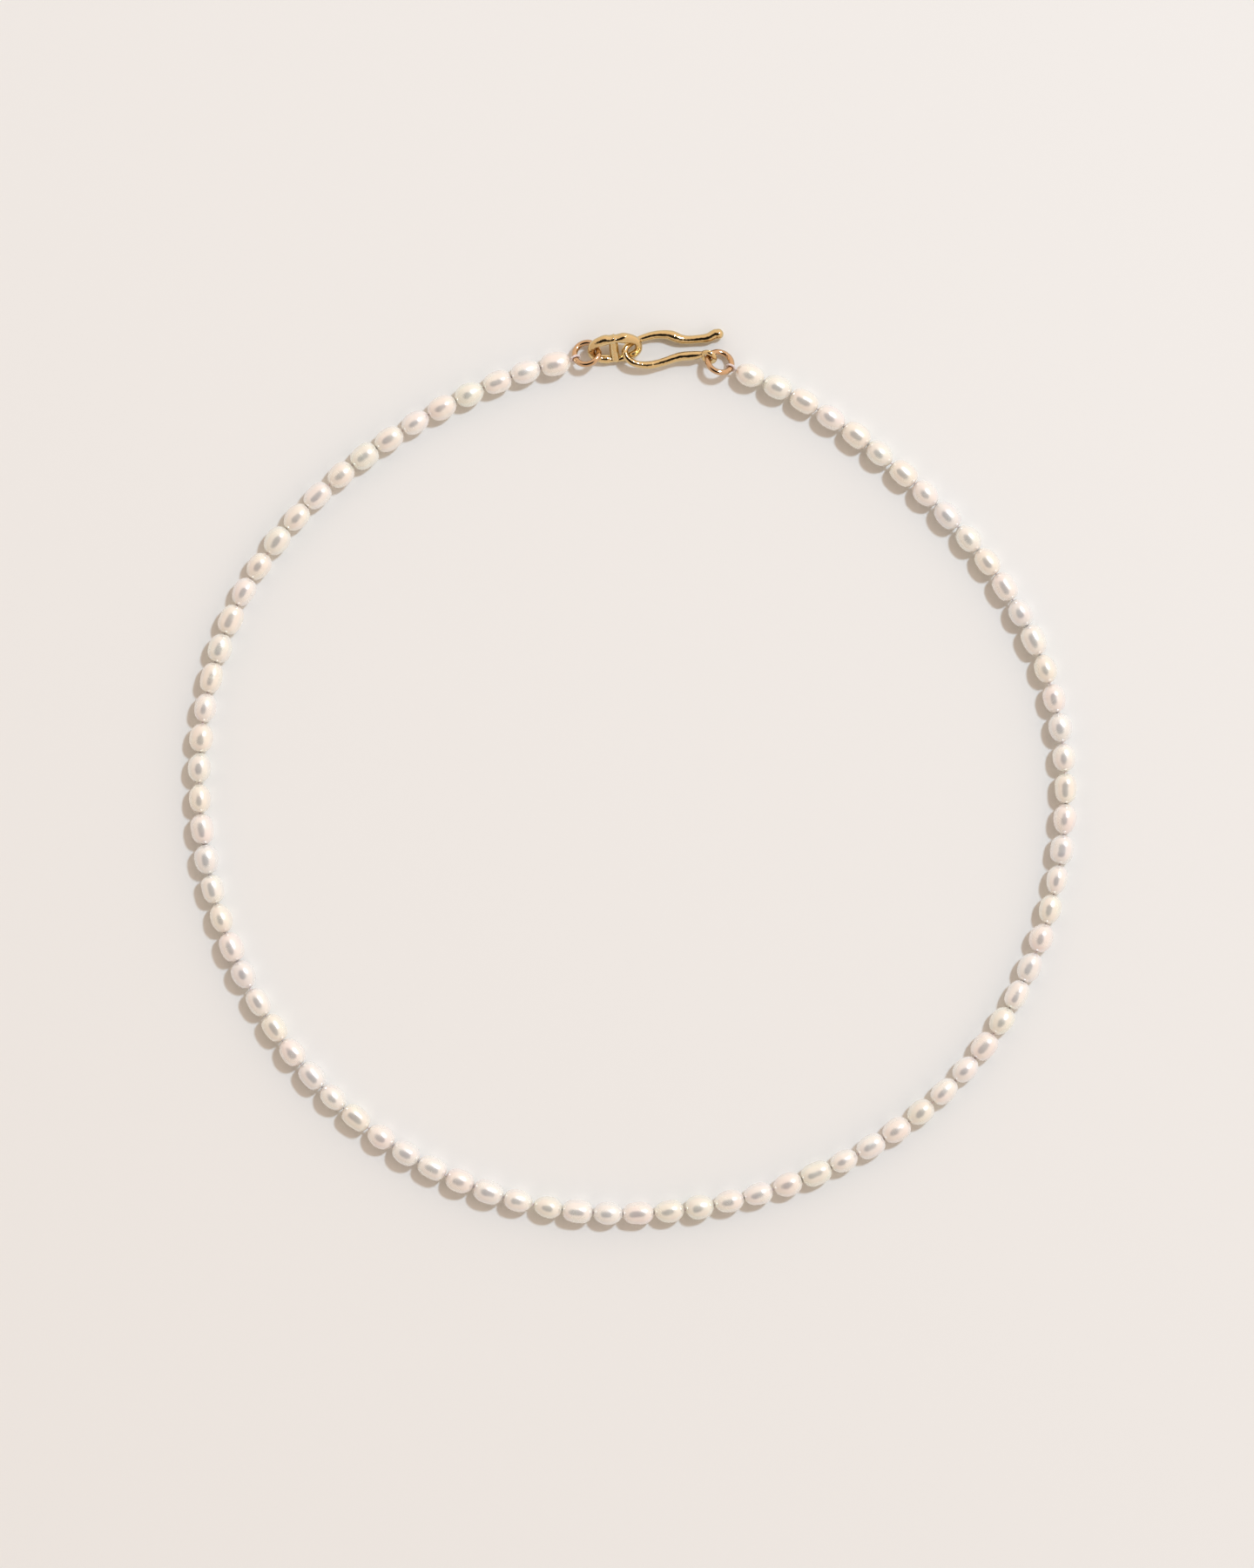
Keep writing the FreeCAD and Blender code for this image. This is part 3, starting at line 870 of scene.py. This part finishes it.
# ---------------------------------------------------------------- studio
@dataclass
class Studio:
    """Pale table, one small bright lamp, a warm room and a camera looking straight down."""

    table_size: float = 3.0
    camera_height: float = 0.90
    seen_height: float = 0.2367
    aim_x: float = -0.0008
    aim_y: float = -0.00109
    lamp_distance: float = 2.0
    lamp_width: float = 0.22
    lamp_watts: float = 21.8
    lamp_elevation: float = 55.0
    lamp_azimuth: float = 45.0
    dark_tilt: float = 13.0
    room_strength: float = 0.98
    room_swing: float = 0.20
    lamp_colour: str = "#D8ECFF"
    wall_colour: str = "#FFE9D7"
    edge_colour: str = "#38332F"
    ceiling_colour: str = "#1E1B1A"

    def build(self) -> None:
        """Build the table, the lamp, the room light and the camera."""
        self._table()
        self._lamp()
        self._room()
        self._camera()

    def _table(self) -> None:
        """Lay the table under the necklace."""
        half = self.table_size / 2
        mesh = bpy.data.meshes.new("table_top")
        mesh.from_pydata([(-half, -half, 0), (half, -half, 0), (half, half, 0), (-half, half, 0)],
                         [], [(0, 1, 2, 3)])
        mesh.materials.append(TableTop().build())
        table = bpy.data.objects.new("table_top", mesh)
        bpy.context.scene.collection.objects.link(table)

    def _lamp(self) -> None:
        """Hang the lamp up and to the right."""
        light = bpy.data.lights.new("studio_lamp", "AREA")
        light.shape = "DISK"
        light.size = self.lamp_width
        light.energy = self.lamp_watts
        light.color = linear(self.lamp_colour)[:3]
        lamp = bpy.data.objects.new("studio_lamp", light)
        rise = math.radians(self.lamp_elevation)
        turn = math.radians(self.lamp_azimuth)
        way = Vector((math.cos(rise) * math.cos(turn), math.cos(rise) * math.sin(turn), math.sin(rise)))
        lamp.location = way * self.lamp_distance
        lamp.rotation_euler = way.to_track_quat("Z", "Y").to_euler()
        bpy.context.scene.collection.objects.link(lamp)

    def _room(self) -> None:
        """Light the room: warm and bright all round, dark straight above."""
        world = bpy.data.worlds.new("warm_room")
        world.use_nodes = True
        bpy.context.scene.world = world
        tree = world.node_tree
        background = tree.nodes["Background"]
        way = add_node(tree, "ShaderNodeTexCoord")
        # the dark camera stand and ceiling lie a little past straight above, away from the lamp
        turn = math.radians(self.lamp_azimuth)
        tip = math.radians(self.dark_tilt)
        centre = (-math.sin(tip) * math.cos(turn), -math.sin(tip) * math.sin(turn), math.cos(tip))
        above = add_node(tree, "ShaderNodeVectorMath", {"operation": "DOT_PRODUCT"}, {
            0: way.outputs["Generated"], 1: centre})
        ramp = add_node(tree, "ShaderNodeValToRGB", {}, {"Fac": above.outputs["Value"]})
        stops = ramp.color_ramp.elements
        stops[0].color = linear(self.wall_colour)
        stops[1].color = linear(self.ceiling_colour)
        stops.new(0.80).color = linear(self.wall_colour)
        stops.new(0.90).color = linear(self.edge_colour)
        # the lamp side of the room is brighter than the far side
        side = add_node(tree, "ShaderNodeVectorMath", {"operation": "DOT_PRODUCT"}, {
            0: way.outputs["Generated"], 1: (math.cos(turn), math.sin(turn), 0.0)})
        level = add_node(tree, "ShaderNodeMapRange", {}, {
            "Value": side.outputs["Value"], "From Min": -1.0, "From Max": 1.0,
            "To Min": self.room_strength * (1 - self.room_swing),
            "To Max": self.room_strength * (1 + self.room_swing)})
        tree.links.new(ramp.outputs["Color"], background.inputs["Color"])
        tree.links.new(level.outputs[0], background.inputs["Strength"])

    def _camera(self) -> None:
        """Set the camera straight above."""
        data = bpy.data.cameras.new("camera")
        data.sensor_fit = "VERTICAL"
        data.sensor_height = 36.0
        data.lens = 36.0 * self.camera_height / self.seen_height
        data.clip_start = 0.01
        data.clip_end = 20.0
        camera = bpy.data.objects.new("camera", data)
        camera.location = (self.aim_x, self.aim_y, self.camera_height)
        bpy.context.scene.collection.objects.link(camera)
        bpy.context.scene.camera = camera


# ---------------------------------------------------------------- assembly
def strand_order(joints: list[dict]) -> list[tuple[str, str, Vector]]:
    """List the strand's runs of pearls from the front outwards.

    Args:
        joints: the record's joints.

    Returns:
        For each run, its CAD node, its body and the bend point where it starts, in millimetres.
    """
    runs = []
    for joint in joints:
        if joint["child"].startswith("strand_"):
            node = "pearls_" + joint["child"].removeprefix("strand_")
            runs.append((node, joint["child"], Vector(joint["pos_m"]) / MM))
            if joint["parent"] == "front" and not any(run[0] == "pearls_front" for run in runs):
                runs.append(("pearls_front", "front", Vector(joint["pos_m"]) / MM))
    return runs


def main() -> None:
    """Build the necklace's looks and the studio."""
    logging.basicConfig(level=logging.INFO)
    bpy.context.scene.view_settings.view_transform = "Standard"
    nacre = Nacre().build()
    silk = SilkThread().build()
    yellow = GoldPlate("gold_vermeil_polished_cast", "#DAC291", 0.06, 0.70).build()
    rose = GoldPlate("rose_tinted_gold_wire_polished", "#CDAD8A", 0.06, 0.25).build()
    joints = frame["joints"]

    shaper = PearlShaper()
    number = 0
    axes = {}
    for node, body, start in strand_order(joints):
        run = PearlRun(node, body, start, number)
        number += len(run.seats)
        run.build(shaper, nacre)
        axes[body] = run.seats[0].axis
        LOG.info("%s: %d pearls", node, len(run.seats))

    for name, obj in frame["nodes"].items():
        if name.startswith("thread_"):
            obj.data.materials.clear()
            obj.data.materials.append(silk)
            LOG.info("%s: dressed", name)
    for joint in joints:
        if joint["child"].startswith("strand_"):
            ThreadBridge(joint, axes[joint["child"]]).build(silk)
    LOG.info("thread bridges built")

    CastPiece("clasp_hook", "clasp_hook", "clasp_gold", "gold_hook").build(yellow)
    LOG.info("clasp_hook: built")
    CastPiece("clasp_link", "clasp_link", "clasp_gold", "gold_link", fuller_mm=0.06).build(yellow)
    LOG.info("clasp_link: built")
    for joint in joints:
        if joint["child"].endswith("jump_ring"):
            ring = WireRing(joint["child"], joint["child"], "rose_" + joint["child"])
            ring.build(rose, Vector(joint["axis"]).normalized())
            LOG.info("%s: built", joint["child"])

    Studio().build()


if __name__ == "__main__":
    main()
